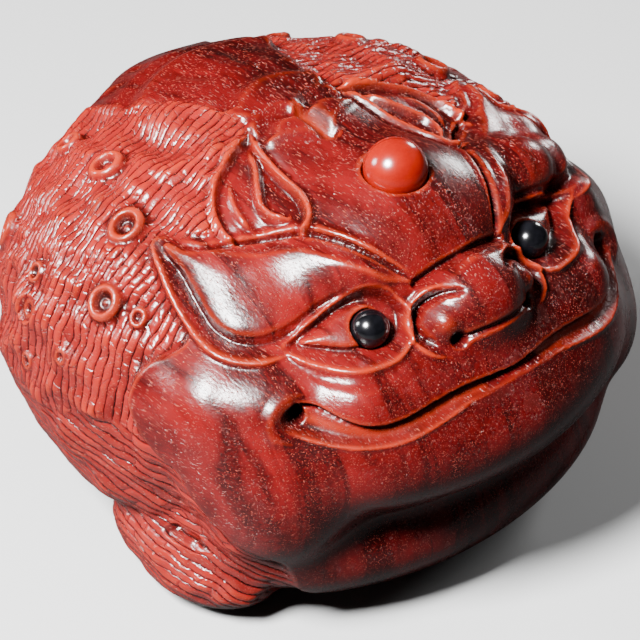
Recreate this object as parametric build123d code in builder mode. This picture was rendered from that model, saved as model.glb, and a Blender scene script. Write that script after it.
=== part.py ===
"""Carved toad hand piece: one block of dense wood with a red bead set in the forehead and two
black bead eyes. The face looks along -Y, the flat base rests on z = 0, +X is the toad's left."""
import os

from build123d import *

# Overall envelope of the carving, mm.
HALF_WIDTH = 27.5
HALF_LENGTH = 29.1
TOP = 40.7

# Set beads, mm. Each one sits in a blind drilled socket on a thin dished pad of adhesive.
FOREHEAD_BEAD_RADIUS = 3.0
FOREHEAD_BEAD_CENTRE = (0, -10.7, 39.9)
FOREHEAD_BEAD_FACING = (0, -0.45, 0.89)
EYE_BEAD_RADIUS = 1.8
EYE_BEAD_CENTRE = (10.2, -18.2, 31.0)
EYE_BEAD_FACING = (0.42, -0.78, 0.46)
SOCKET_CLEARANCE = 0.05
SOCKET_REACH = 12.0
ADHESIVE_THICKNESS = 0.2
ADHESIVE_HEIGHT = 0.6
ADHESIVE_RADIUS_RATIO = 0.5

# Big masses of the carving: (centre, radii), mm.
BACK = ((0, HALF_LENGTH - 22.8, 20.0), (HALF_WIDTH, 22.8, TOP - 20.0))
UPPER_BACK = ((0, 6.4, 25.5), (26.8, 22.0, 13.5))
HEAD = ((0, 0.5, 20.8), (26.4, 24.0, 16.6))
FOREHEAD = ((0, -9.0, 32.0), (12.2, 11.0, 8.4))
MUZZLE = ((0, -9.5, 25.2), (20.6, 16.5, 7.0))
JAW = ((0, 18.5 - HALF_LENGTH, 19.8), (23.8, 18.5, 9.3))
THROAT = ((0, -9.0, 8.0), (24.8, 15.9, 8.1))
RUMP = ((0, 9.0, 9.0), (21.2, 16.7, 10.5))
SPINE_LOCK = ((0, 13.8, 30.6), (8.5, 11.6, 7.6))
NOSE = ((0, -20.2, 30.2), (5.0, 5.0, 4.4))

# Masses carved once on each side: (centre, radii, turn about Z), mm and degrees.
MUZZLE_SIDE = ((9.8, -15.4, 21.6), (9.4, 9.8, 8.2), 20)
CHEEK = ((17.2, -7.5, 21.5), (9.8, 10.6, 8.7), 14)
JOWL = ((17.6, -12.6, 15.6), (7.9, 9.0, 8.1), 24)
SHOULDER = ((21.4, 3.4, 14.0), (6.9, 11.2, 8.2), 6)
PAW = ((18.7, -4.6, 4.8), (7.4, 11.2, 5.6), 14)
BROW = ((14.0, -10.0, 30.6), (8.6, 5.6, 4.6), 28)
EYE_SOCKET = ((11.0, -16.0, 28.0), (6.5, 5.0, 3.7), 28)
NOSTRIL_WING = ((5.0, -21.0, 29.0), (2.4, 2.4, 2.2), 0)
EAR = ((10.0, -1.5, 35.0), (4.4, 6.4, 3.2), 30)
PAIRED_MASSES = (MUZZLE_SIDE, CHEEK, JOWL, SHOULDER, PAW, BROW, EYE_SOCKET, NOSTRIL_WING, EAR)

# Mouth: a shallow groove from corner to corner around the muzzle, mm.
MOUTH_RADIUS = 0.8
MOUTH_CORNER = (19.4, -18.2, 25.4)
MOUTH_SIDE = (14.2, -23.2, 24.9)
MOUTH_CENTRE = (0, -25.9, 25.9)


def rounded_mass(centre, radii, turn=0):
    """An ellipsoid with the given centre and radii, turned about the vertical axis."""
    return Pos(*centre) * Rot(0, 0, turn) * scale(Sphere(1), by=radii)


def mirrored_pair(centre, radii, turn):
    """The same ellipsoid on the left and on the right of the toad."""
    x, y, z = centre
    return [rounded_mass((x, y, z), radii, turn), rounded_mass((-x, y, z), radii, -turn)]


def facing_plane(centre, facing):
    """A plane through a bead's centre whose normal points out of its socket."""
    return Plane(origin=centre, z_dir=facing)


def mirrored(vector):
    x, y, z = vector
    return (-x, y, z)


# Every set bead: name -> (plane, radius).
beads = {
    "forehead": (facing_plane(FOREHEAD_BEAD_CENTRE, FOREHEAD_BEAD_FACING), FOREHEAD_BEAD_RADIUS),
    "left_eye": (facing_plane(EYE_BEAD_CENTRE, EYE_BEAD_FACING), EYE_BEAD_RADIUS),
    "right_eye": (
        facing_plane(mirrored(EYE_BEAD_CENTRE), mirrored(EYE_BEAD_FACING)),
        EYE_BEAD_RADIUS,
    ),
}

single_masses = [
    rounded_mass(centre, radii)
    for centre, radii in (
        BACK, UPPER_BACK, HEAD, FOREHEAD, MUZZLE, JAW, THROAT, RUMP, SPINE_LOCK, NOSE
    )
]
paired_masses = [
    mass
    for centre, radii, turn in PAIRED_MASSES
    for mass in mirrored_pair(centre, radii, turn)
]

with BuildPart() as carved_body:
    for mass in single_masses + paired_masses:
        add(mass)
    # Flat base.
    split(bisect_by=Plane.XY, keep=Keep.TOP)
    # Mouth.
    with BuildLine() as mouth_line:
        Spline(
            mirrored(MOUTH_CORNER), mirrored(MOUTH_SIDE), MOUTH_CENTRE, MOUTH_SIDE, MOUTH_CORNER
        )
    with BuildSketch(Plane(origin=mouth_line.line @ 0, z_dir=mouth_line.line % 0)):
        Circle(MOUTH_RADIUS)
    sweep(path=mouth_line.line, mode=Mode.SUBTRACT)
    # Blind sockets for the beads.
    for plane, radius in beads.values():
        with BuildSketch(plane.offset(-radius - ADHESIVE_THICKNESS)):
            Circle(radius + SOCKET_CLEARANCE)
        extrude(amount=SOCKET_REACH, mode=Mode.SUBTRACT)


def set_bead(plane, radius):
    """A polished round bead."""
    with BuildPart(plane) as bead:
        Sphere(radius)
    return bead.part


def adhesive_pad(plane, radius):
    """The dished pad of adhesive between a bead and the floor of its socket."""
    with BuildPart() as pad:
        with BuildSketch(plane.offset(-radius - ADHESIVE_THICKNESS)):
            Circle(radius * ADHESIVE_RADIUS_RATIO)
        extrude(amount=ADHESIVE_HEIGHT)
        with Locations(plane):
            Sphere(radius, mode=Mode.SUBTRACT)
    return pad.part


os.makedirs("parts", exist_ok=True)
carved_body.part.label = "carved_body"
export_step(carved_body.part, "parts/carved_body.step")

for name, (plane, radius) in beads.items():
    bead = set_bead(plane, radius)
    bead.label = name + "_bead"
    export_step(bead, "parts/" + name + "_bead.step")
    pad = adhesive_pad(plane, radius)
    pad.label = name + "_adhesive"
    export_step(pad, "parts/" + name + "_adhesive.step")
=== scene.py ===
"""Looks of the carved toad hand piece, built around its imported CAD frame.

The carving is modelled in millimetres as a distance field on a grid, like digital clay: big masses
are blended together, features are drawn on boards and pressed into the surface as relief, and the
field is turned into one mesh. Materials, floor, lights and camera follow.
"""

import bmesh
import bpy
import numpy as np
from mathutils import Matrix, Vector


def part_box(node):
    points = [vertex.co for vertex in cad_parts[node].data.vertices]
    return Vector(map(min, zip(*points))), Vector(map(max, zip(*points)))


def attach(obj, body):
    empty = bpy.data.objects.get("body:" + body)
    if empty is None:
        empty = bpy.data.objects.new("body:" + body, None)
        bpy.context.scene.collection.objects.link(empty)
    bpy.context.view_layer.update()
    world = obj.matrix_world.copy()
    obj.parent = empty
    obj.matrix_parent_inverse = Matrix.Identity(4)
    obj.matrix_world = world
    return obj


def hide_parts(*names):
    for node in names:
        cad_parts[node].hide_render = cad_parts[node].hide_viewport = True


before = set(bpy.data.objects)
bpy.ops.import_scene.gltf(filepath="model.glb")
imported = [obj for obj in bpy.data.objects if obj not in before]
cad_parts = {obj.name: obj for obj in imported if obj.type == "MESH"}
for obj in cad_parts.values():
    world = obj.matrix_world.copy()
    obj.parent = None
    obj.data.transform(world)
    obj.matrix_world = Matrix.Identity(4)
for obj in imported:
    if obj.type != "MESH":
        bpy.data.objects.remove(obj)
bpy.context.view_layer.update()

MM = 0.001
# Grid of the clay, mm: its corners and the size of a cell.
CLAY_LOW = (-31, -32.5, -1.0)
CLAY_HIGH = (31, 31.5, 46)
CELL = 0.21
# Middle of the head and body, from which longitudes and latitudes are counted.
HEART = np.array((0.0, 0.0, 20.0))

BEADS = ("forehead_bead", "left_eye_bead", "right_eye_bead")
ADHESIVE_PADS = ("forehead_adhesive", "left_eye_adhesive", "right_eye_adhesive")
SOCKET_GAP = 0.12
SOCKET_FILLET = 0.3

# Big masses of the clay, in the order they are blended: centre, radii, fillet (mm) and turn about
# Z (degrees). Those off the midline are made on both sides.
MASSES = {
    "back": ((0, 6.2, 20.0), (28.4, 22.8, 20.0), 1.0, 0),
    "upper_back": ((0, 6.4, 25.5), (26.8, 21.4, 13.3), 2.0, 0),
    "head": ((0, 0.5, 21.0), (26.3, 24.0, 15.7), 4.0, 0),
    "rump": ((0, 9.0, 9.0), (21.0, 16.5, 10.4), 4.0, 0),
    "forehead": ((0, -9.0, 32.0), (12.0, 11.0, 8.2), 2.0, 0),
    "muzzle": ((0, -9.5, 25.0), (20.5, 16.4, 6.8), 3.0, 0),
    "muzzle_side": ((9.8, -15.2, 21.5), (9.2, 9.6, 8.0), 3.0, 20),
    "jaw": ((0, -10.6, 19.8), (23.8, 18.5, 9.1), 3.0, 0),
    "cheek": ((17.2, -7.5, 21.5), (9.6, 10.5, 8.5), 3.0, 14),
    "jowl": ((17.6, -12.6, 15.6), (7.8, 9.0, 8.0), 3.0, 24),
    "throat": ((0, -9.0, 8.1), (25.0, 15.9, 8.0), 2.5, 0),
    "shoulder": ((20.6, 3.4, 14.0), (6.6, 11.0, 8.0), 2.5, 6),
    "paw": ((18.7, -4.6, 4.8), (7.4, 11.2, 5.6), 1.0, 14),
    "spine_lock": ((0, 13.8, 30.2), (8.5, 11.4, 7.4), 2.0, 0),
    "nose": ((0, -20.4, 30.4), (4.8, 4.6, 4.2), 2.0, 0),
}
# The toad's left brow and temple are knobbly, the right ones smooth.
KNOBS = (
    (14.6, -11.6, 32.4), (19.0, -10.0, 30.0), (19.0, -13.2, 28.8), (20.6, -5.6, 30.6), (22.4, -1.2, 29.8),
)
KNOB_RADII = (2.6, 2.6, 2.4)
KNOB_FILLET = 1.2

# Warts of the hide: longitude, latitude (degrees) and size (mm).
WARTS = (
    (127, 40, 1.45), (103, 37, 1.6), (94, 23, 1.5), (85, 23.5, 0.8), (113, 19, 0.9), (110, 13, 0.8),
    (108, 3, 0.8), (99, 9, 0.7), (134, 14, 1.6), (146, 30, 1.2), (148, -2, 1.3), (164, 6, 1.0),
    (162, -16, 1.4), (131, -14, 1.2),
)

# Hair of the hide, mm: flat-topped chisel strokes. They ring the body like ribs, and below ARM_TOP
# they turn to run forward along the arms to the paws.
RIB_SPACING = 0.85
RIB_LENGTH = 2.6
ARM_SPACING = 0.85
ARM_LENGTH = 9.0
CUT_DEPTH = 0.24
ARM_TOP = 20.0
# How steeply a stroke falls off at its sides and ends, and how deep the cut between ends is.
SIDE_POWER = 6
END_POWER = 16
END_DEPTH = 0.5
# Where the ribs start to curve round the rump, and the radius of that curve.
RUMP_START = 6.5
RUMP_RADIUS = 23.5
# Each row of strokes starts a golden-ratio step further along than its neighbour, and all places
# are counted from a row that lies outside the toad, so none is negative.
ROW_SHIFT = 0.618034
FIRST_PLACE = 60
# Gentle swellings of the hide, mm.
LUMP_SIZE = 3.8
LUMP_HEIGHT = 0.9

# Colours, linear: they are dark and strong because the view transform lightens and greys them.
HEARTWOOD = (0.028, 0.0007, 0.0010)
LIGHT_GRAIN = (0.080, 0.0028, 0.0030)
# The dark grain colour also paints shade into hollows and into the cuts between strokes.
DARK_GRAIN_AND_SHADE = (0.0035, 0.0003, 0.0003)
FRESH_CUT = (0.20, 0.014, 0.003)
CUT_HIDE = (0.115, 0.0055, 0.0045)
PORE = (0.15, 0.028, 0.018)
# The other materials are clouded between two colours.
AGATE = ((0.095, 0.0013, 0.0004), (0.14, 0.0040, 0.0010))
ONYX = ((0.001, 0.001, 0.0014), (0.003, 0.003, 0.004))
ADHESIVE = ((0.50, 0.40, 0.24), (0.62, 0.54, 0.36))

# The floor and the backdrop look pale, but throw little light on the toad. The floor fades into
# the backdrop between two distances, mm.
FLOOR_SIZE = 1.5
FLOOR_PALE = (0.30, 0.30, 0.30)
FLOOR_BOUNCE = (0.02, 0.02, 0.02)
FLOOR_FADE = (90, 330)
WORLD_LIGHT = 0.02
BACKDROP = 1.1
# Round softboxes: azimuth and elevation (degrees), distance and diameter (metres), power (watts),
# and whether the polish mirrors them.
LIGHTS = {
    "key": ((-84, 50), 0.35, 0.11, 14.5, True),
    "rim": ((108, 16), 0.35, 0.07, 0.55, True),
    "left_fill": ((-140, 22), 0.40, 0.10, 1.8, True),
    "soft_fill": ((72, 34), 0.50, 0.30, 1.4, False),
}
LIGHT_TARGET = Vector((0, 0, 0.020))
CAMERA_PLACE = (-43.0, 36.5)
CAMERA_DISTANCE = 0.43
CAMERA_TARGET = Vector((0, -0.0006, 0.0173))
CAMERA_LENS = 252.7


# ---- Fields and curves ----


def smooth_min(a, b, blend):
    """Union of two fields with a fillet of the given size."""
    overlap = np.maximum(blend - np.abs(a - b), 0) / blend
    return np.minimum(a, b) - overlap * overlap * blend * 0.25


def smooth_max(a, b, blend):
    """Intersection of two fields with the same kind of fillet."""
    return -smooth_min(-a, -b, blend)


def smooth_step(low, high, value):
    """0 at low, 1 at high (which may be the smaller), with soft ends."""
    t = np.clip((value - low) / (high - low), 0, 1)
    return t * t * (3 - 2 * t)


def turn_matrix(degrees):
    """Rotation about Z."""
    angle = np.radians(degrees)
    return np.array([[np.cos(angle), -np.sin(angle), 0], [np.sin(angle), np.cos(angle), 0], [0, 0, 1]])


def direction(lon, lat):
    """Unit vector: longitude 0 is the face, positive towards +X; latitude 90 is straight up."""
    lon, lat = np.radians(lon), np.radians(lat)
    return np.stack([np.cos(lat) * np.sin(lon), -np.cos(lat) * np.cos(lon), np.sin(lat)], -1)


def curve(points, per_span=8, closed=False):
    """A smooth line through a few given points (Catmull-Rom)."""
    points = np.array(points, float)
    count = len(points)
    spans = count if closed else count - 1
    steps = np.linspace(0, 1, per_span, endpoint=False)[:, None]
    out = []
    for i in range(spans):
        if closed:
            p0, p1, p2, p3 = (points[(i + k - 1) % count] for k in range(4))
        else:
            p1, p2 = points[i], points[i + 1]
            p0 = points[i - 1] if i > 0 else 2 * p1 - p2
            p3 = points[i + 2] if i + 2 < count else 2 * p2 - p1
        out.append(
            0.5 * (2 * p1 + (p2 - p0) * steps + (2 * p0 - 5 * p1 + 4 * p2 - p3) * steps ** 2
                   + (3 * p1 - p0 - 3 * p2 + p3) * steps ** 3)
        )
    out.append(points[:1] if closed else points[-1:])
    return np.concatenate(out)


def line_distance(u, v, line):
    """Distance from each (u, v) to a polyline, and how far along it the nearest point is, 0-1."""
    best = np.full(u.shape, 1e9)
    along = np.zeros(u.shape)
    lengths = np.linalg.norm(np.diff(line, axis=0), axis=1)
    starts = np.concatenate([[0], np.cumsum(lengths)])
    for a, b, length, start in zip(line[:-1], line[1:], lengths, starts):
        if length < 1e-9:
            continue
        t = ((u - a[0]) * (b[0] - a[0]) + (v - a[1]) * (b[1] - a[1])) / length ** 2
        t = np.clip(t, 0, 1)
        d = np.hypot(u - a[0] - t * (b[0] - a[0]), v - a[1] - t * (b[1] - a[1]))
        near = d < best
        best = np.where(near, d, best)
        along = np.where(near, (start + t * length) / starts[-1], along)
    return best, along


def inside(u, v, loop):
    """True where (u, v) is inside a closed polyline."""
    odd = np.zeros(u.shape, bool)
    for a, b in zip(loop[:-1], loop[1:]):
        crosses = (a[1] > v) != (b[1] > v)
        slope = (b[0] - a[0]) / (b[1] - a[1] if b[1] != a[1] else 1e-9)
        odd ^= crosses & (u < a[0] + (v - a[1]) * slope)
    return odd


# ---- Drawing boards ----


class Board:
    """What is drawn on a board becomes relief. Its tint layer marks freshly cut wood, its polish
    layer keeps the hair of the hide away."""

    def __init__(self, low, high, step):
        self.low = np.array(low, float)
        self.step = step
        count = np.ceil((np.array(high) - self.low) / step).astype(int) + 1
        self.height = np.zeros(count)
        self.tint = np.zeros(count)
        self.polish = np.zeros(count)

    def around(self, points, margin):
        """The part of the board near some points, and its coordinates."""
        points = np.asarray(points)
        limit = np.array(self.height.shape)
        first = np.clip(((points.min(0) - margin - self.low) / self.step).astype(int), 0, limit - 1)
        last = np.clip(((points.max(0) + margin - self.low) / self.step).astype(int) + 2, 1, limit)
        ticks = [self.low[k] + self.step * np.arange(first[k], last[k]) for k in range(2)]
        u, v = np.meshgrid(*ticks, indexing="ij")
        return (slice(first[0], last[0]), slice(first[1], last[1])), u, v

    def line(self, points, width, height, taper=0.0, tint=0.0):
        """A ridge (height above 0) or groove (below 0) of the given half width, along a curve."""
        path = curve(points)
        where, u, v = self.around(path, width)
        d, along = line_distance(u, v, path)
        scale = 1.0
        if taper:
            scale = np.clip(np.minimum(along, 1 - along) / taper, 0.12, 1)
        t = np.clip(1 - d / (width * scale), 0, 1)
        profile = t * t * (3 - 2 * t)
        self.height[where] += height * scale * profile
        self.tint[where] = np.maximum(self.tint[where], tint * profile)

    def shape(self, points, height, edge, dome=0.0, dome_reach=1.0, polish=0.0):
        """Raise or sink the inside of an outline, with a soft edge and an optional crown."""
        loop = curve(points, closed=True)
        where, u, v = self.around(loop, edge)
        d, _ = line_distance(u, v, loop)
        signed = np.where(inside(u, v, loop), d, -d)
        level = smooth_step(-edge, edge, signed)
        crown = np.clip(signed / dome_reach, 0, 1)
        self.height[where] += height * level + dome * np.sqrt(1 - (1 - crown) ** 2)
        self.polish[where] = np.maximum(self.polish[where], polish * level)

    def bump(self, at, radius, height, tint=0.0):
        """A round bump or dimple."""
        where, u, v = self.around([at], radius)
        t = np.clip(1 - np.hypot(u - at[0], v - at[1]) / radius, 0, 1)
        profile = t * t * (3 - 2 * t)
        self.height[where] += height * profile
        self.tint[where] = np.maximum(self.tint[where], tint * profile)

    def ring(self, at, radius, width, height, tint=0.0, stretch=1.0):
        """A ring-shaped ridge or groove."""
        where, u, v = self.around([at], radius * max(stretch, 1) + width)
        distance = np.hypot(u - at[0], (v - at[1]) / stretch)
        t = np.clip(1 - np.abs(distance - radius) / width, 0, 1)
        profile = t * t * (3 - 2 * t)
        self.height[where] += height * profile
        self.tint[where] = np.maximum(self.tint[where], tint * profile)

    def read(self, layer, u, v):
        """Values of one layer at board coordinates."""
        gu = np.clip((u - self.low[0]) / self.step, 0, layer.shape[0] - 1.001)
        gv = np.clip((v - self.low[1]) / self.step, 0, layer.shape[1] - 1.001)
        i, j = gu.astype(np.int32), gv.astype(np.int32)
        fu, fv = gu - i, gv - j
        return ((layer[i, j] * (1 - fu) + layer[i + 1, j] * fu) * (1 - fv)
                + (layer[i, j + 1] * (1 - fu) + layer[i + 1, j + 1] * fu) * fv)


class FaceBoard(Board):
    """Wraps round the whole head. u is degrees of longitude off the face's midline, so both
    sides of the toad get the same drawing, and v is degrees of latitude."""

    # How far back it reaches, mm along Y.
    rear = 10.0

    def __init__(self):
        super().__init__((-6, -50), (125, 64), 0.25)

    def sample(self, layer, x, y, z):
        """Values of one layer at points in space."""
        z = z - HEART[2]
        lon = np.degrees(np.arctan2(np.abs(x), -y))
        lat = np.degrees(np.arctan2(z, np.sqrt(x * x + y * y)))
        return self.read(layer, lon, lat + 0 * x)


class Patch(Board):
    """A flat board laid against the surface, in millimetres. On the midline it is folded: half of
    it is drawn, and read on both sides."""

    def __init__(self, origin, normal, reach, up, depth):
        super().__init__((-reach, -reach), (reach, reach), 0.1)
        self.origin = origin
        self.normal = normal
        side = np.cross(up, normal)
        self.u_axis = side / np.linalg.norm(side)
        self.v_axis = np.cross(normal, self.u_axis)
        self.reach = reach
        self.depth = depth
        self.folded = abs(origin[0]) < 0.01

    def sample(self, layer, x, y, z):
        """Values of one layer at points in space, fading out below the board."""
        if self.folded:
            x = np.abs(x)
        rel = (x - self.origin[0], y - self.origin[1], z - self.origin[2])
        u, v, w = (
            rel[0] * axis[0] + rel[1] * axis[1] + rel[2] * axis[2]
            for axis in (self.u_axis, self.v_axis, self.normal)
        )
        return self.read(layer, u, v) * smooth_step(-self.depth - 2, -self.depth, w)


# ---- Clay ----
# Distance from the middle of a patch that takes in its corners, in half sides.
PATCH_CORNER = 1.45


class Clay:
    """A grid of signed distances: negative inside the carving."""

    def __init__(self, low, high, cell):
        self.low = np.array(low, float)
        self.cell = cell
        self.count = np.ceil((np.array(high) - self.low) / cell).astype(int) + 1
        self.axes = [
            (self.low[k] + cell * np.arange(self.count[k])).astype(np.float32) for k in range(3)
        ]
        self.field = np.full(self.count, 9.0, np.float32)
        self.boards = []

    def window(self, low, high):
        """The part of the grid between two corners, and its coordinates."""
        first = np.clip(np.floor((low - self.low) / self.cell).astype(int), 0, self.count - 1)
        last = np.clip(np.ceil((high - self.low) / self.cell).astype(int) + 1, 1, self.count)
        cut = tuple(slice(a, b) for a, b in zip(first, last))
        x = self.axes[0][cut[0]][:, None, None]
        y = self.axes[1][cut[1]][None, :, None]
        z = self.axes[2][cut[2]][None, None, :]
        return cut, x, y, z

    def ellipsoid(self, centre, radii, blend, turn=0, cut=False, mirror=False):
        """Blend an ellipsoid into the clay, or carve it out; mirror makes the pair."""
        matrix = turn_matrix(turn)
        for side in ((1, -1) if mirror else (1,)):
            flip = np.diag((side, 1, 1))
            axes = flip @ matrix @ flip
            middle = flip @ np.array(centre, float)
            reach = np.sqrt((axes ** 2) @ (np.array(radii, float) ** 2)) + blend + 2
            where, x, y, z = self.window(middle - reach, middle + reach)
            x, y, z = x - middle[0], y - middle[1], z - middle[2]
            local = [(axes[0, k] * x + axes[1, k] * y + axes[2, k] * z) / radii[k] for k in range(3)]
            k0 = np.sqrt(sum(q * q for q in local))
            k1 = np.sqrt(sum((q / r) ** 2 for q, r in zip(local, radii)))
            ball = (k0 * (k0 - 1) / np.maximum(k1, 1e-6)).astype(np.float32)
            old = self.field[where]
            self.field[where] = smooth_max(old, -ball, blend) if cut else smooth_min(old, ball, blend)

    def sample(self, points):
        """Distances at points in space."""
        q = np.clip((points - self.low) / self.cell, 0, self.count - 1.001)
        i = q.astype(int)
        t = q - i
        total = 0
        for corner in np.ndindex(2, 2, 2):
            weight = np.prod(np.where(corner, t, 1 - t), axis=-1)
            total = total + weight * self.field[tuple((i + corner).T)].T
        return total

    def surface(self, lon, lat):
        """The outermost surface point in a direction from the heart of the carving."""
        ray = direction(lon, lat)
        step = 0.1
        distances = np.arange(42, 4, -step)
        values = self.sample(HEART + distances[:, None] * ray)
        hit = np.argmax(values < 0)
        before, after = values[hit - 1], values[hit]
        return HEART + (distances[hit - 1] - step * before / (before - after)) * ray

    def normal(self, point, reach=1.5):
        """Direction in which the distance grows fastest, measured over a small reach."""
        steps = reach * np.eye(3)
        slope = self.sample(point + steps) - self.sample(point - steps)
        return slope / np.linalg.norm(slope)

    def patch(self, lon, lat, reach, up=(0, 0, 1), depth=6.0):
        """A flat board on the surface at a longitude and latitude."""
        point = self.surface(lon, lat)
        return Patch(point, self.normal(point), reach, up, depth)

    def press(self, board):
        """Turn what is drawn on the face board into relief."""
        low, high = np.array(CLAY_LOW), np.array(CLAY_HIGH)
        low[2], high[1] = 0, board.rear
        where, x, y, z = self.window(low, high)
        self.field[where] -= board.sample(board.height, x, y, z).astype(np.float32)
        self.boards.append(board)

    def press_patch(self, patch):
        """The same for a patch, on both sides of the toad."""
        reach = patch.reach * PATCH_CORNER
        for side in ((1,) if patch.folded else (1, -1)):
            middle = patch.origin * (side, 1, 1)
            where, x, y, z = self.window(middle - reach, middle + reach)
            self.field[where] -= patch.sample(patch.height, side * x, y, z).astype(np.float32)
        self.boards.append(patch)


def sculpt():
    """The whole carving as clay."""
    clay = Clay(CLAY_LOW, CLAY_HIGH, CELL)
    for centre, radii, fillet, turn in MASSES.values():
        clay.ellipsoid(centre, radii, fillet, turn=turn, mirror=centre[0] > 0)
    for centre in KNOBS:
        clay.ellipsoid(centre, KNOB_RADII, KNOB_FILLET)
    carve_face(clay)
    carve_ears(clay)
    carve_crown(clay)
    carve_back(clay)
    carve_paws(clay)
    for lon, lat, size in WARTS:
        carve_wart(clay, lon, lat, size)
    for bead in BEADS:
        low, high = (np.array(corner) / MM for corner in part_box(bead))
        radius = (high - low).max() / 2 + SOCKET_GAP
        clay.ellipsoid((low + high) / 2, (radius, radius, radius), SOCKET_FILLET, cut=True)
    # Flat base.
    clay.field = np.maximum(clay.field, -clay.axes[2][None, None, :])
    return clay


def carve_face(clay):
    """Face, brows, eyes, nose and mouth, drawn in degrees round the head (1 mm is about 2.1)."""
    board = FaceBoard()
    # The face stands a little proud of the hide behind it.
    board.shape(
        [(-20, 34), (14, 35), (30, 42), (48, 47), (66, 44), (90, 41), (93, 37), (86, 32.5), (79, 28),
         (73, 24), (74.5, 20.5), (79, 17), (81.5, 12), (81.5, 7), (76, 1), (68, -3), (65, -8), (58, -13),
         (50, -18), (38, -34), (-20, -34)],
        0.6, 1.3, polish=1.0,
    )
    board.shape([(-20, 20), (60, 20), (88, 40), (62, 50), (60, 64), (-20, 64)], 0.0, 1.0, polish=1.0)
    draw_brow(board)
    draw_eye(board)
    draw_nose(board)
    draw_mouth(board)
    clay.press(board)


def draw_brow(board):
    """A leaf-shaped brow between two ledges."""
    # From its outer tip round its lower edge to the bridge of the nose, and back along the top.
    leaf = [(89, 39), (80, 35.5), (74, 32), (69, 28.5), (64, 26.5), (59, 26), (54, 27), (48, 30), (42, 34),
            (35, 36.4), (28, 37), (21, 36.4), (15, 35.4), (20, 39), (26, 43.5), (34, 47.5), (45, 50.5),
            (56, 50), (66, 47.5), (76, 43.5)]
    board.shape(leaf, 0.15, 1.2, dome=0.9, dome_reach=9)
    # The ledge of the forehead along the top of the brow.
    board.line([(90, 41), (80, 43), (66, 49.5), (50, 53), (36, 50), (26, 45), (16, 38)],
               2.4, 0.35, taper=0.15, tint=0.3)
    board.line([(89, 39.6), (79, 41.6), (66, 47.8), (50, 51), (37, 48.6), (26, 43.8), (15, 36)],
               1.3, -0.65, taper=0.08)
    # The groove under the leaf and the raised rim that runs on round it as the lower eyelid.
    board.line([(86, 37), (79, 33.5), (73, 29.5), (67, 25.8), (60, 24.2), (53, 25.4), (46, 29.4)],
               1.5, -0.45, taper=0.1)
    board.line([(93, 38), (86, 34.5), (80, 30.5), (74, 26.5), (67, 23.2), (60, 21.8), (54, 22.2),
                (48, 23.8)], 1.4, 0.42, taper=0.12, tint=1.0)


def draw_eye(board):
    """An almond-shaped hollow with its eyeball, between two lids."""
    almond = [(49.5, 25), (44, 23.8), (38, 22.8), (31, 22.6), (25, 23.6), (21.5, 26.5), (21, 31),
              (25, 34.6), (32, 35.4), (39, 32.4), (45, 28.4)]
    board.shape(almond, -0.75, 0.9)
    board.shape([(47, 25.6), (41, 24.8), (34, 24.4), (27, 25.6), (25.5, 30), (29.5, 33.4), (36, 32.4),
                 (42, 29)], 0.2, 0.9, dome=0.8, dome_reach=4)
    # Lids.
    board.line([(51, 24.4), (44, 22.2), (38, 21.2), (31, 21), (24.5, 22), (20, 25.6), (19.4, 31),
                (22.5, 35)], 1.2, 0.4, taper=0.1, tint=1.0)
    board.line([(49, 27), (44, 30.6), (38, 34.4), (31, 37), (24, 36.2), (20.4, 33)], 1.1, 0.3,
               taper=0.15, tint=0.8)
    # A soft wrinkle below the lower lid.
    board.line([(48, 21.6), (42, 19.4), (34, 18.6), (26, 19.4), (21, 21.6)], 1.6, -0.2, taper=0.3)


def draw_nose(board):
    """Wings, nostrils and bridge."""
    # Wing of the nostril, with the groove curled round it and a crescent fold outside that.
    board.bump((13.6, 26.2), 5.2, 0.8)
    board.line([(6, 31.4), (11, 31.8), (15.6, 30.4), (18, 27.4), (17.4, 24), (14.6, 21.6)],
               1.1, -0.6, taper=0.1)
    board.line([(8, 33.6), (14, 33.6), (18.6, 31.2), (20.6, 27.6), (20, 23.6), (16.8, 20.6), (13, 19.2)],
               1.2, 0.45, taper=0.2, tint=1.0)
    # Nostril and the line under the tip of the nose.
    board.bump((10.4, 22.2), 2.1, -1.6, tint=0.3)
    board.line([(-10.4, 22), (-6, 22.8), (0, 23), (6, 22.8), (10.4, 22)], 1.0, -0.5)
    # Bridge: the nose starts with a clear edge under the forehead.
    board.line([(-16, 35.4), (-8, 37.2), (0, 37.6), (8, 37.2), (16, 35.4)], 1.3, -0.7)


def draw_mouth(board):
    """A long smile with drilled corners, and the fullness of lips and cheeks round it."""
    lips = [(47, 14.6), (43, 14.2), (38, 12.2), (33, 10.7), (27, 10.6), (20, 12.2), (13, 13.2), (6, 13.2),
            (0, 12.8)]
    crest = [(0, 12.2), (8, 11.6), (14, 10.8), (20, 9.4), (27, 8), (34, 7.8), (41, 8.6), (47.5, 10.2),
             (49, 12.6)]
    # The lower lip is a band cut back under the upper one, rising to a crest that fades to the middle.
    board.shape(lips + crest, -0.75, 0.55)
    mirrored = [(-u, v) for u, v in lips[:-3:-1]]
    board.line(lips + mirrored[1:], 0.7, -0.55)
    board.line(crest[1:], 1.2, 0.35, taper=0.15, tint=0.5)
    middle = [(44, 11.8), (38, 10.2), (31, 9.3), (24, 10.2), (16, 11.8), (8, 12.5)]
    board.line(middle, 2.0, 0.0, tint=1.0)
    # The corner of the mouth is a drilled hole with a soft fold curled round it.
    board.bump((47, 12.4), 2.2, -2.2)
    board.line([(44, 17), (48.6, 16.2), (51, 13), (50.4, 9.4), (46, 7.4)], 2.4, 0.3, taper=0.25)
    # Upper lip: full beside the corner of the mouth, with a hollow between it and the cheek.
    for lon, lat, reach in ((34, 16, 9), (53, 14.5, 10), (66, 13, 13)):
        board.bump((lon, lat), reach, 0.7)


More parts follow.
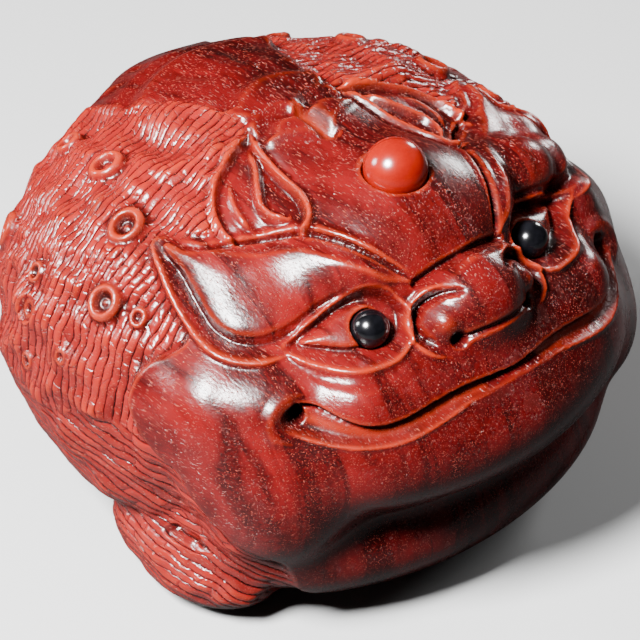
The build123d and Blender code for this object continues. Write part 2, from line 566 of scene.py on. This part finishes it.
def carve_ears(clay):
    """A leaf-shaped ear on each side: u runs outwards and v backwards, in millimetres."""
    ear = clay.patch(78, 60, 9, up=(0, 1, 0))
    outer = [(-5.0, 5.5), (-1.2, 4.4), (2.0, 2.9), (4.1, 0.6), (5.0, -2.0), (4.9, -4.4)]
    inner = [(-5.0, 5.5), (-3.9, 3.2), (-3.4, 1.0), (-3.0, -1.5), (-2.5, -4.0), (-1.3, -6.1), (0.5, -6.8),
             (1.7, -6.0)]
    leaf = outer + [(4.0, -6.0)] + inner[:0:-1]
    ear.shape(leaf, -0.3, 0.4, polish=1.0)
    for rim in (outer, inner):
        ear.line(rim, 1.5, -0.4, taper=0.08)
        ear.line(rim, 0.75, 1.0, taper=0.12, tint=1.0)
    ear.line([(-3.4, 4.0), (-2.2, 1.8), (-0.6, -0.2), (0.5, -1.8), (0.6, -3.4), (-0.1, -4.7), (-0.8, -4.2)],
             0.75, 0.9, taper=0.15, tint=0.8)
    ear.line([(0.6, 2.4), (2.0, 0.4), (2.7, -1.8), (2.6, -3.6)], 0.6, 0.4, taper=0.25, tint=0.4)
    ear.bump((2.9, -3.2), 1.8, -0.4)
    clay.press_patch(ear)


def carve_crown(clay):
    """The heart-shaped rear edge of the forehead, with a notch on the midline."""
    crown = clay.patch(0, 84, 12, up=(0, 1, 0))
    crown.line([(0.0, 5.0), (0.0, 2.0), (0.0, -0.8)], 1.5, -1.1, taper=0.15, tint=1.0)
    crown.line([(0.3, 4.0), (2.2, 4.9), (4.2, 4.3), (5.6, 2.8)], 1.4, -0.7, taper=0.15)
    crown.bump((2.8, 1.2), 4.2, 0.55)
    crown.shape([(0, 8), (5, 6), (9, -2), (10, -9), (8, -14), (-8, -14), (-8, 0)], 0.0, 0.5, polish=1.0)
    clay.press_patch(crown)


def carve_back(clay):
    """A smooth lock of mane that runs back from between the ears in overlapping lobes."""
    back = clay.patch(180, 48, 21, up=(0, 0, -1), depth=12)
    lock = [(-6, -17), (4.8, -16), (5.2, -12), (5.6, -8), (6.6, -4), (8.2, -1.5), (9.0, 1.5), (8.6, 5),
            (7.0, 9), (5.0, 13), (2.5, 17), (-2.5, 17), (-8, 4)]
    back.shape(lock, 0.3, 0.5, dome=0.3, dome_reach=3.0, polish=1.0)
    for v, width, drop in ((-9.5, 5.4, -2.4), (1.6, 8.8, -3.6), (9.4, 6.6, -3.4)):
        edge = [(-0.4 * width, v - 0.1 * drop), (0, v), (0.4 * width, v + 0.15 * drop),
                (0.75 * width, v + 0.5 * drop), (width, v + drop)]
        back.line(edge, 2.2, 0.3, taper=0.05, tint=0.25)
        back.line([(u, w + 1.9) for u, w in edge], 1.9, -0.35, taper=0.05)
    back.line([(1.2, -6.0), (2.6, -3.0), (3.0, 0.4)], 1.2, -0.25, taper=0.3)
    back.line([(2.4, 4.6), (2.2, 8.0)], 1.2, -0.25, taper=0.3)
    clay.press_patch(back)


def carve_paws(clay):
    """The fold that parts each paw from the arm above it."""
    paw = clay.patch(66, -24, 12, up=(0, 0, 1), depth=2.5)
    paw.line([(5.5, 0.6), (2.6, 1.4), (-1.0, 1.0)], 1.1, -0.7, taper=0.3)
    clay.press_patch(paw)


def carve_wart(clay, lon, lat, size):
    """A wart: a soft raised rim round a pit with a small knob in it, a little longer than wide."""
    wart = clay.patch(lon, lat, 2.6 * size, depth=3)
    wart.ring((0, 0), 0.78 * size, 0.5 * size, 0.36 * size, tint=1.0, stretch=1.2)
    wart.bump((0, 0), 0.8 * size, -0.45 * size)
    wart.bump((0, 0), 0.45 * size, 0.4 * size)
    around = [(1.2 * size * np.cos(a), 1.35 * size * np.sin(a)) for a in np.arange(8) * np.pi / 4]
    wart.shape(around, 0.0, 0.2, polish=1.0)
    clay.press_patch(wart)


# ---- Mesh and hide ----


class Noise:
    """Smooth random values in space, repeatable from a seed."""

    period = 32

    def __init__(self, seed):
        shape = (self.period, self.period, self.period)
        self.lattice = np.random.default_rng(seed).uniform(-1, 1, shape)

    def __call__(self, points, size):
        q = points / size
        base = np.floor(q).astype(int)
        t = q - base
        t = t * t * (3 - 2 * t)
        total = 0
        for corner in np.ndindex(2, 2, 2):
            weight = np.prod(np.where(corner, t, 1 - t), axis=-1)
            index = (base + corner) % self.period
            total = total + weight * self.lattice[index[:, 0], index[:, 1], index[:, 2]]
        return total


def surface_net(clay):
    """Turn the field into a mesh: one vertex per crossed cell, one quad per crossed edge."""
    field = clay.field
    inside_clay = field < 0
    size = np.array(field.shape)
    filled = np.zeros(size - 1, np.int8)
    for dx, dy, dz in np.ndindex(2, 2, 2):
        filled += inside_clay[dx:size[0] - 1 + dx, dy:size[1] - 1 + dy, dz:size[2] - 1 + dz]
    crossed = (filled > 0) & (filled < 8)
    cells = np.argwhere(crossed)
    number = np.full(crossed.shape, -1, np.int64)
    number[crossed] = np.arange(len(cells))
    total = np.zeros((len(cells), 3))
    hits = np.zeros(len(cells))
    for axis in range(3):
        step = np.eye(3, dtype=int)[axis]
        for corner in np.ndindex(2, 2, 2):
            if corner[axis]:
                continue
            start = cells + corner
            a = field[tuple(start.T)]
            b = field[tuple((start + step).T)]
            cut = (a < 0) != (b < 0)
            t = np.where(cut, a / np.where(cut, a - b, 1), 0)
            total += cut[:, None] * (np.array(corner) + step * t[:, None])
            hits += cut
    vertices = clay.low + clay.cell * (cells + total / hits[:, None])
    quads = []
    for axis in range(3):
        first, second = [slice(None)] * 3, [slice(None)] * 3
        first[axis], second[axis] = slice(0, -1), slice(1, None)
        here = inside_clay[tuple(first)]
        edges = np.argwhere(here != inside_clay[tuple(second)])
        starts_inside = here[tuple(edges.T)]
        u, v = (axis + 1) % 3, (axis + 2) % 3
        corners = []
        for du, dv in ((-1, -1), (0, -1), (0, 0), (-1, 0)):
            cell = edges.copy()
            cell[:, u] += du
            cell[:, v] += dv
            corners.append(number[tuple(cell.T)])
        quad = np.stack(corners, 1)
        quad[~starts_inside] = quad[~starts_inside][:, ::-1]
        quads.append(quad)
    return vertices, np.concatenate(quads)


def vertex_normals(vertices, quads):
    """Area-weighted normals."""
    a, b, c, d = (vertices[quads[:, k]] for k in range(4))
    face = np.cross(c - a, d - b)
    normals = np.zeros(vertices.shape)
    for axis in range(3):
        for k in range(4):
            normals[:, axis] += np.bincount(quads[:, k], face[:, axis], len(vertices))
    return normals / np.maximum(np.linalg.norm(normals, axis=1, keepdims=True), 1e-12)


def neighbour_mean(values, quads):
    """Average of each vertex's neighbours round its quads."""
    total = np.zeros(values.shape)
    count = np.zeros(len(values))
    for k in range(4):
        here, there = quads[:, k], quads[:, (k + 1) % 4]
        for a, b in ((here, there), (there, here)):
            count += np.bincount(a, minlength=len(values))
            for axis in range(3):
                total[:, axis] += np.bincount(a, values[b, axis], len(values))
    return total / count[:, None]


def board_layer(clay, points, name):
    """Largest value of a tint or polish layer over all the boards, at each point."""
    best = np.zeros(len(points))
    for board in clay.boards:
        layer = getattr(board, name)
        if not layer.any():
            continue
        for side in ((1, -1) if isinstance(board, Patch) and not board.folded else (1,)):
            x, y, z = side * points[:, 0], points[:, 1], points[:, 2]
            if isinstance(board, Patch):
                away = np.linalg.norm(np.stack([x, y, z], -1) - board.origin, axis=1)
                near = away < board.reach * PATCH_CORNER
            else:
                near = y < board.rear
            best[near] = np.maximum(best[near], board.sample(layer, x[near], y[near], z[near]))
    return best


def stroke_cut(row_place, stroke_place):
    """Depth 0-1 between strokes: rows are one unit apart and strokes one unit long."""
    row = np.floor(row_place)
    shifted = stroke_place + (row * ROW_SHIFT) % 1.0
    side = np.abs(row_place - row - 0.5) * 2
    end = np.abs(shifted % 1.0 - 0.5) * 2
    return np.maximum(side ** SIDE_POWER, END_DEPTH * end ** END_POWER)


def hide_strokes(points):
    """Where each point lies in the rows of strokes: row and stroke place, and the arm's share."""
    fine = Noise(5)
    wobble = 0.6 * fine(points, 6.0) + 0.25 * fine(points + 11, 1.8)
    jitter = fine(points + 23, 3.0)
    x, y, z = np.abs(points[:, 0]), points[:, 1], points[:, 2]
    # Ribs stand in planes across the body and keep their spacing round the rump.
    behind = y - RUMP_START
    round_rump = RUMP_RADIUS * np.arcsin(np.clip(behind / RUMP_RADIUS, 0, 0.99))
    rib_row = (np.where(behind > 0, round_rump, behind) + wobble) / RIB_SPACING
    # Rows on the arms are stacked upwards and inwards, and sink a little towards the paws.
    arm_row = (0.85 * z - 0.13 * y - 0.5 * x + wobble) / ARM_SPACING
    # The arms start along a ragged line that drops towards the rump.
    edge = z + 2.5 * fine(points, 5.0) + 0.25 * np.maximum(y, 0)
    return {
        "rib_row": rib_row + FIRST_PLACE,
        "rib_stroke": (z - x + 3 * jitter) / RIB_LENGTH + FIRST_PLACE,
        "arm_row": arm_row + FIRST_PLACE,
        "arm_stroke": (y + 4 * jitter) / ARM_LENGTH + FIRST_PLACE,
        "arm": smooth_step(ARM_TOP + 0.6, ARM_TOP - 0.6, edge),
    }


def hide_mask(clay, vertices, normals):
    """1 where the hide is cut, 0 on the polished face, ears, mane, throat and underside."""
    x, y, z = np.abs(vertices[:, 0]), vertices[:, 1], vertices[:, 2]
    mask = (1 - board_layer(clay, vertices, "polish")) * smooth_step(0.3, 2.0, z)
    # The throat lies under the face, between the arms, and narrows towards the belly.
    throat = smooth_step(-8, -11, y) * smooth_step(15, 13, z)
    throat = throat * smooth_step(0, 2.5, 15.5 - x - 0.5 * (y + 20))
    return mask * (1 - throat) * smooth_step(-0.75, -0.45, normals[:, 2])


def finished_surface(clay):
    """The mesh of the carving with its hide cut, and the values that its material uses."""
    vertices, quads = surface_net(clay)
    normals = vertex_normals(vertices, quads)
    hide = hide_mask(clay, vertices, normals)
    masks = hide_strokes(vertices)
    ribs = stroke_cut(masks["rib_row"], masks["rib_stroke"])
    arms = stroke_cut(masks["arm_row"], masks["arm_stroke"])
    cuts = ribs + (arms - ribs) * masks["arm"]
    coarse = Noise(3)
    lumps = coarse(vertices, LUMP_SIZE) + 0.5 * coarse(vertices + 40, LUMP_SIZE * 0.5)
    lumps = lumps * (1 - 0.5 * masks["arm"])
    vertices = vertices + normals * (hide * (LUMP_HEIGHT * lumps - CUT_DEPTH * cuts))[:, None]
    masks["hide"] = hide
    masks["tint"] = board_layer(clay, vertices, "tint")
    # How far each vertex lies below its smoothed surroundings.
    spread = vertices
    for _ in range(6):
        spread = neighbour_mean(spread, quads)
    masks["hollow"] = np.einsum("ij,ij->i", spread - vertices, normals)
    return vertices, quads, masks


# ---- Materials ----


class Nodes:
    """Short hand for building a material's node tree."""

    def __init__(self, name):
        self.material = bpy.data.materials.new(name)
        self.material.use_nodes = True
        self.tree = self.material.node_tree
        self.shader = self.tree.nodes["Principled BSDF"]
        place = self.add("ShaderNodeTexCoord")
        scale = self.add("ShaderNodeVectorMath", operation="SCALE")
        scale.inputs["Scale"].default_value = 1 / MM
        self.link(place.outputs["Object"], scale.inputs[0])
        self.position = scale.outputs[0]

    def add(self, kind, **settings):
        """A new node with some of its properties set."""
        node = self.tree.nodes.new(kind)
        for key, value in settings.items():
            setattr(node, key, value)
        return node

    def link(self, source, target):
        self.tree.links.new(source, target)

    def feed(self, socket, value):
        """Link a socket to another, or set its value."""
        if isinstance(value, bpy.types.NodeSocket):
            self.link(value, socket)
        else:
            socket.default_value = value

    def stretch(self, scale, offset=(0, 0, 0)):
        """Position in millimetres, scaled per axis."""
        node = self.add("ShaderNodeMapping")
        node.inputs["Scale"].default_value = scale
        node.inputs["Location"].default_value = offset
        self.link(self.position, node.inputs["Vector"])
        return node.outputs["Vector"]

    def noise(self, vector, detail, roughness=0.5, distortion=0.0):
        """Noise with features about one unit of the vector across."""
        node = self.add("ShaderNodeTexNoise")
        self.link(vector, node.inputs["Vector"])
        node.inputs["Scale"].default_value = 1.0
        node.inputs["Detail"].default_value = detail
        node.inputs["Roughness"].default_value = roughness
        node.inputs["Distortion"].default_value = distortion
        return node.outputs["Fac"]

    def math(self, operation, a, b=0.0):
        node = self.add("ShaderNodeMath", operation=operation)
        self.feed(node.inputs[0], a)
        self.feed(node.inputs[1], b)
        return node.outputs[0]

    def range(self, value, low, high, to_low=0.0, to_high=1.0):
        """Map low-high to another range, clamped."""
        node = self.add("ShaderNodeMapRange", clamp=True)
        self.link(value, node.inputs["Value"])
        node.inputs["From Min"].default_value = low
        node.inputs["From Max"].default_value = high
        node.inputs["To Min"].default_value = to_low
        node.inputs["To Max"].default_value = to_high
        return node.outputs["Result"]

    def mix(self, factor, a, b):
        """Colours a to b."""
        node = self.add("ShaderNodeMix", data_type="RGBA")
        self.feed(node.inputs["Factor"], factor)
        for socket, value in ((node.inputs[6], a), (node.inputs[7], b)):
            if isinstance(value, bpy.types.NodeSocket):
                self.link(value, socket)
            else:
                socket.default_value = (*value, 1)
        return node.outputs[2]

    def blend(self, factor, a, b):
        """Plain numbers a to b."""
        return self.math("ADD", a, self.math("MULTIPLY", factor, self.math("SUBTRACT", b, a)))

    def attribute(self, name):
        """A value stored on the vertices of the carving."""
        return self.add("ShaderNodeAttribute", attribute_name=name).outputs["Fac"]

    def bump(self, height, strength, distance_mm, normal=None):
        node = self.add("ShaderNodeBump")
        node.inputs["Strength"].default_value = strength
        node.inputs["Distance"].default_value = distance_mm * MM
        self.link(height, node.inputs["Height"])
        if normal is not None:
            self.link(normal, node.inputs["Normal"])
        return node.outputs["Normal"]

    def set(self, **values):
        """Set or link inputs of the shader, named with underscores for spaces."""
        for name, value in values.items():
            socket = self.shader.inputs[name.replace("_", " ")]
            if isinstance(value, tuple):
                value = (*value, 1)
            self.feed(socket, value)


def stroke_nodes(m, family):
    """The same strokes as stroke_cut, worked out for every pixel, and a random shade for each."""
    row_place = m.attribute(family + "_row")
    row = m.math("FLOOR", row_place)
    start = m.math("FRACT", m.math("MULTIPLY", row, ROW_SHIFT))
    shifted = m.math("ADD", m.attribute(family + "_stroke"), start)
    side = m.math("ABSOLUTE", m.math("SUBTRACT", m.math("FRACT", row_place), 0.5))
    end = m.math("ABSOLUTE", m.math("SUBTRACT", m.math("FRACT", shifted), 0.5))
    side_cut = m.math("POWER", m.math("MULTIPLY", side, 2.0), SIDE_POWER)
    end_cut = m.math("POWER", m.math("MULTIPLY", end, 2.0), END_POWER)
    end_cut = m.math("MULTIPLY", end_cut, END_DEPTH)
    key = m.add("ShaderNodeCombineXYZ")
    m.link(row, key.inputs["X"])
    m.link(m.math("FLOOR", shifted), key.inputs["Y"])
    shade = m.add("ShaderNodeTexWhiteNoise", noise_dimensions="2D")
    m.link(key.outputs[0], shade.inputs["Vector"])
    return m.math("MAXIMUM", side_cut, end_cut), shade.outputs["Value"]


def rosewood():
    """Dense red rosewood: the grain runs along Y, front to back, growth bands stand along X."""
    m = Nodes("rosewood")
    warp = m.noise(m.stretch((0.05, 0.02, 0.05)), 2)
    bands = m.noise(m.stretch((0.42, 0.02, 0.05), (3, 0, 0)), 3, 0.6, 0.6)
    mottle = m.noise(m.stretch((0.22, 0.10, 0.22), (0, 5, 0)), 3, 0.6)
    fibres = m.noise(m.stretch((3.2, 0.22, 3.2)), 3, 0.6)
    colour = m.mix(m.range(warp, 0.35, 0.65), HEARTWOOD, LIGHT_GRAIN)
    colour = m.mix(m.range(bands, 0.50, 0.62, 0, 0.85), colour, DARK_GRAIN_AND_SHADE)
    colour = m.mix(m.range(mottle, 0.45, 0.65, 0, 0.7), colour, DARK_GRAIN_AND_SHADE)
    colour = m.mix(m.range(fibres, 0.35, 0.75, 0, 0.35), colour, LIGHT_GRAIN)
    # A broad dark band is painted just left of the toad's middle.
    across = m.add("ShaderNodeSeparateXYZ")
    m.link(m.position, across.inputs[0])
    x = m.math("ADD", across.outputs["X"], m.math("MULTIPLY", warp, 2.0))
    dark_band = m.math("MULTIPLY", m.range(x, 1.6, 2.6), m.range(x, 17, 9))
    dark_band = m.math("MULTIPLY", dark_band, m.range(fibres, 0.3, 0.6, 0.8, 0.45))
    colour = m.mix(dark_band, colour, DARK_GRAIN_AND_SHADE)
    # The chiselled hide is paler than the polished face, and each stroke has its own shade.
    hide = m.attribute("hide")
    arm = m.attribute("arm")
    rib_cut, rib_shade = stroke_nodes(m, "rib")
    arm_cut, arm_shade = stroke_nodes(m, "arm")
    cut = m.math("MULTIPLY", m.blend(arm, rib_cut, arm_cut), hide)
    shade = m.range(m.blend(arm, rib_shade, arm_shade), 0, 1, 0.35, 0.9)
    colour = m.mix(m.math("MULTIPLY", hide, shade), colour, CUT_HIDE)
    # Painted shade darkens the hollows, raised edges wear to a fresher orange.
    hollow = m.attribute("hollow")
    colour = m.mix(m.range(hollow, 0.02, 0.12, 0, 0.7), colour, DARK_GRAIN_AND_SHADE)
    colour = m.mix(m.range(hollow, -0.02, -0.10, 0, 0.45), colour, FRESH_CUT)
    tint = m.math("POWER", m.attribute("tint"), 2.0)
    colour = m.mix(m.math("MULTIPLY", tint, 0.4), colour, FRESH_CUT)
    # Painted shade in the cuts between the strokes of the hide.
    colour = m.mix(m.range(cut, 0.25, 0.9, 0, 0.9), colour, DARK_GRAIN_AND_SHADE)
    # Pores: short light dashes along the grain, dots on the end grain.
    pores = m.noise(m.stretch((10, 1.5, 10), (7, 0, 0)), 0)
    pores = m.range(pores, 0.68, 0.75)
    colour = m.mix(m.math("MULTIPLY", pores, 0.7), colour, PORE)
    # Hand polish, a little higher on the flat tops of the strokes.
    polish = m.noise(m.stretch((0.5, 0.3, 0.5)), 3)
    roughness = m.range(polish, 0.3, 0.7, 0.19, 0.31)
    roughness = m.math("SUBTRACT", roughness, m.math("MULTIPLY", hide, 0.04))
    grain_height = m.noise(m.stretch((3.6, 1.4, 3.6)), 2)
    normal = m.bump(grain_height, 0.25, 0.12)
    normal = m.bump(m.math("SUBTRACT", 1.0, pores), 0.7, 0.06, normal)
    normal = m.bump(m.math("SUBTRACT", 1.0, cut), 0.8, 0.12, normal)
    m.set(Base_Color=colour, Roughness=roughness, Normal=normal, Specular_IOR_Level=0.28)
    return m.material


def agate():
    """Clouded orange-red agate that lets a little light through."""
    m = Nodes("red_agate")
    cloud = m.noise(m.stretch((0.35, 0.35, 0.35)), 3)
    colour = m.mix(m.range(cloud, 0.3, 0.7), *AGATE)
    m.set(Base_Color=colour, Roughness=0.2, Subsurface_Weight=0.15)
    m.shader.inputs["Subsurface Radius"].default_value = (1.0, 0.25, 0.12)
    m.shader.inputs["Subsurface Scale"].default_value = 1.2 * MM
    return m.material


def onyx():
    """Black onyx with a faint clouding under the polish."""
    m = Nodes("black_onyx")
    cloud = m.noise(m.stretch((0.8, 0.8, 0.8)), 2)
    colour = m.mix(m.range(cloud, 0.4, 0.7), *ONYX)
    m.set(Base_Color=colour, Roughness=0.17)
    return m.material


def adhesive():
    """Cured yellowish adhesive."""
    m = Nodes("adhesive")
    cloud = m.noise(m.stretch((1.5, 1.5, 1.5)), 2)
    colour = m.mix(cloud, *ADHESIVE)
    m.set(Base_Color=colour, Roughness=0.45)
    return m.material


# ---- Pieces ----


def new_object(name, data):
    """An object in the scene."""
    obj = bpy.data.objects.new(name, data)
    bpy.context.scene.collection.objects.link(obj)
    return obj


def claim(obj, material, node):
    """Give a piece its material, and its place in the frame instead of a CAD node."""
    obj.data.materials.append(material)
    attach(obj, "root")
    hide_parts(node)


def build_body(clay):
    """The carved block as one mesh, with its masks stored on the vertices."""
    vertices, quads, masks = finished_surface(clay)
    mesh = bpy.data.meshes.new("carving")
    mesh.vertices.add(len(vertices))
    mesh.vertices.foreach_set("co", (vertices * MM).astype(np.float32).ravel())
    mesh.loops.add(quads.size)
    mesh.loops.foreach_set("vertex_index", quads.astype(np.int32).ravel())
    mesh.polygons.add(len(quads))
    mesh.polygons.foreach_set("loop_start", np.arange(0, quads.size, 4, dtype=np.int32))
    mesh.update(calc_edges=True)
    mesh.shade_smooth()
    for name, values in masks.items():
        layer = mesh.attributes.new(name, "FLOAT", "POINT")
        layer.data.foreach_set("value", values.astype(np.float32))
    mesh.validate()
    return new_object("carving", mesh)


def build_bead(name, node):
    """A round bead where the frame has its CAD node."""
    low, high = (Vector(corner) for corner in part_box(node))
    mesh = bpy.data.meshes.new(name)
    shape = bmesh.new()
    bmesh.ops.create_icosphere(shape, subdivisions=5, radius=max(high - low) / 2)
    bmesh.ops.translate(shape, vec=(low + high) / 2, verts=shape.verts)
    shape.to_mesh(mesh)
    shape.free()
    mesh.shade_smooth()
    return new_object(name, mesh)


# ---- Stage ----


def facing(azimuth, elevation):
    """Unit vector from the object: azimuth 0 is in front of the toad, positive towards +X."""
    azimuth, elevation = np.radians(azimuth), np.radians(elevation)
    level = np.cos(elevation)
    return Vector((np.sin(azimuth) * level, -np.cos(azimuth) * level, np.sin(elevation)))


def area_light(name, place, distance, size, power, mirrored):
    """A round softbox aimed at the middle of the object."""
    lamp = bpy.data.lights.new(name, "AREA")
    lamp.shape = "DISK"
    lamp.size = size
    lamp.energy = power
    light = new_object(name, lamp)
    light.visible_glossy = mirrored
    away = facing(*place)
    light.location = LIGHT_TARGET + away * distance
    light.rotation_euler = away.to_track_quat("Z", "Y").to_euler()


def build_floor():
    """A plain pale floor that fades into the backdrop."""
    mesh = bpy.data.meshes.new("floor")
    shape = bmesh.new()
    bmesh.ops.create_grid(shape, x_segments=1, y_segments=1, size=FLOOR_SIZE)
    shape.to_mesh(mesh)
    shape.free()
    m = Nodes("pale_floor")
    seen = m.add("ShaderNodeLightPath").outputs["Is Camera Ray"]
    away = m.add("ShaderNodeVectorMath", operation="LENGTH")
    m.link(m.position, away.inputs[0])
    fade = m.math("MULTIPLY", m.range(away.outputs["Value"], *FLOOR_FADE), seen)
    colour = m.mix(fade, m.mix(seen, FLOOR_BOUNCE, FLOOR_PALE), (0, 0, 0))
    glow = m.math("MULTIPLY", fade, BACKDROP)
    m.set(Base_Color=colour, Roughness=0.6, Emission_Color=(1, 1, 1), Emission_Strength=glow)
    mesh.materials.append(m.material)
    new_object("floor", mesh)


def build_world():
    """Dim even light, which the camera sees as a pale backdrop."""
    world = bpy.data.worlds.new("studio")
    world.use_nodes = True
    tree = world.node_tree
    background = tree.nodes["Background"]
    background.inputs["Color"].default_value = (1, 1, 1, 1)
    seen = tree.nodes.new("ShaderNodeLightPath")
    strength = tree.nodes.new("ShaderNodeMapRange")
    strength.inputs["To Min"].default_value = WORLD_LIGHT
    strength.inputs["To Max"].default_value = BACKDROP
    tree.links.new(seen.outputs["Is Camera Ray"], strength.inputs["Value"])
    tree.links.new(strength.outputs["Result"], background.inputs["Strength"])
    bpy.context.scene.world = world


def build_camera():
    """The camera, seeing the toad from its front right and above."""
    camera = new_object("camera", bpy.data.cameras.new("camera"))
    away = facing(*CAMERA_PLACE)
    camera.location = CAMERA_TARGET + away * CAMERA_DISTANCE
    camera.rotation_euler = away.to_track_quat("Z", "Y").to_euler()
    camera.data.lens = CAMERA_LENS
    camera.data.clip_start = 0.01
    bpy.context.scene.camera = camera


# ---- The object ----

claim(build_body(sculpt()), rosewood(), "carved_body")
claim(build_bead("agate_bead", "forehead_bead"), agate(), "forehead_bead")
onyx_stone = onyx()
for side in ("left", "right"):
    node = side + "_eye_bead"
    claim(build_bead(side + "_onyx", node), onyx_stone, node)
# The adhesive pads keep their CAD meshes.
glue = adhesive()
for node in ADHESIVE_PADS:
    pad = bpy.data.objects[node]
    pad.data.materials.clear()
    pad.data.materials.append(glue)

build_floor()
build_world()
for name, settings in LIGHTS.items():
    area_light(name, *settings)
build_camera()
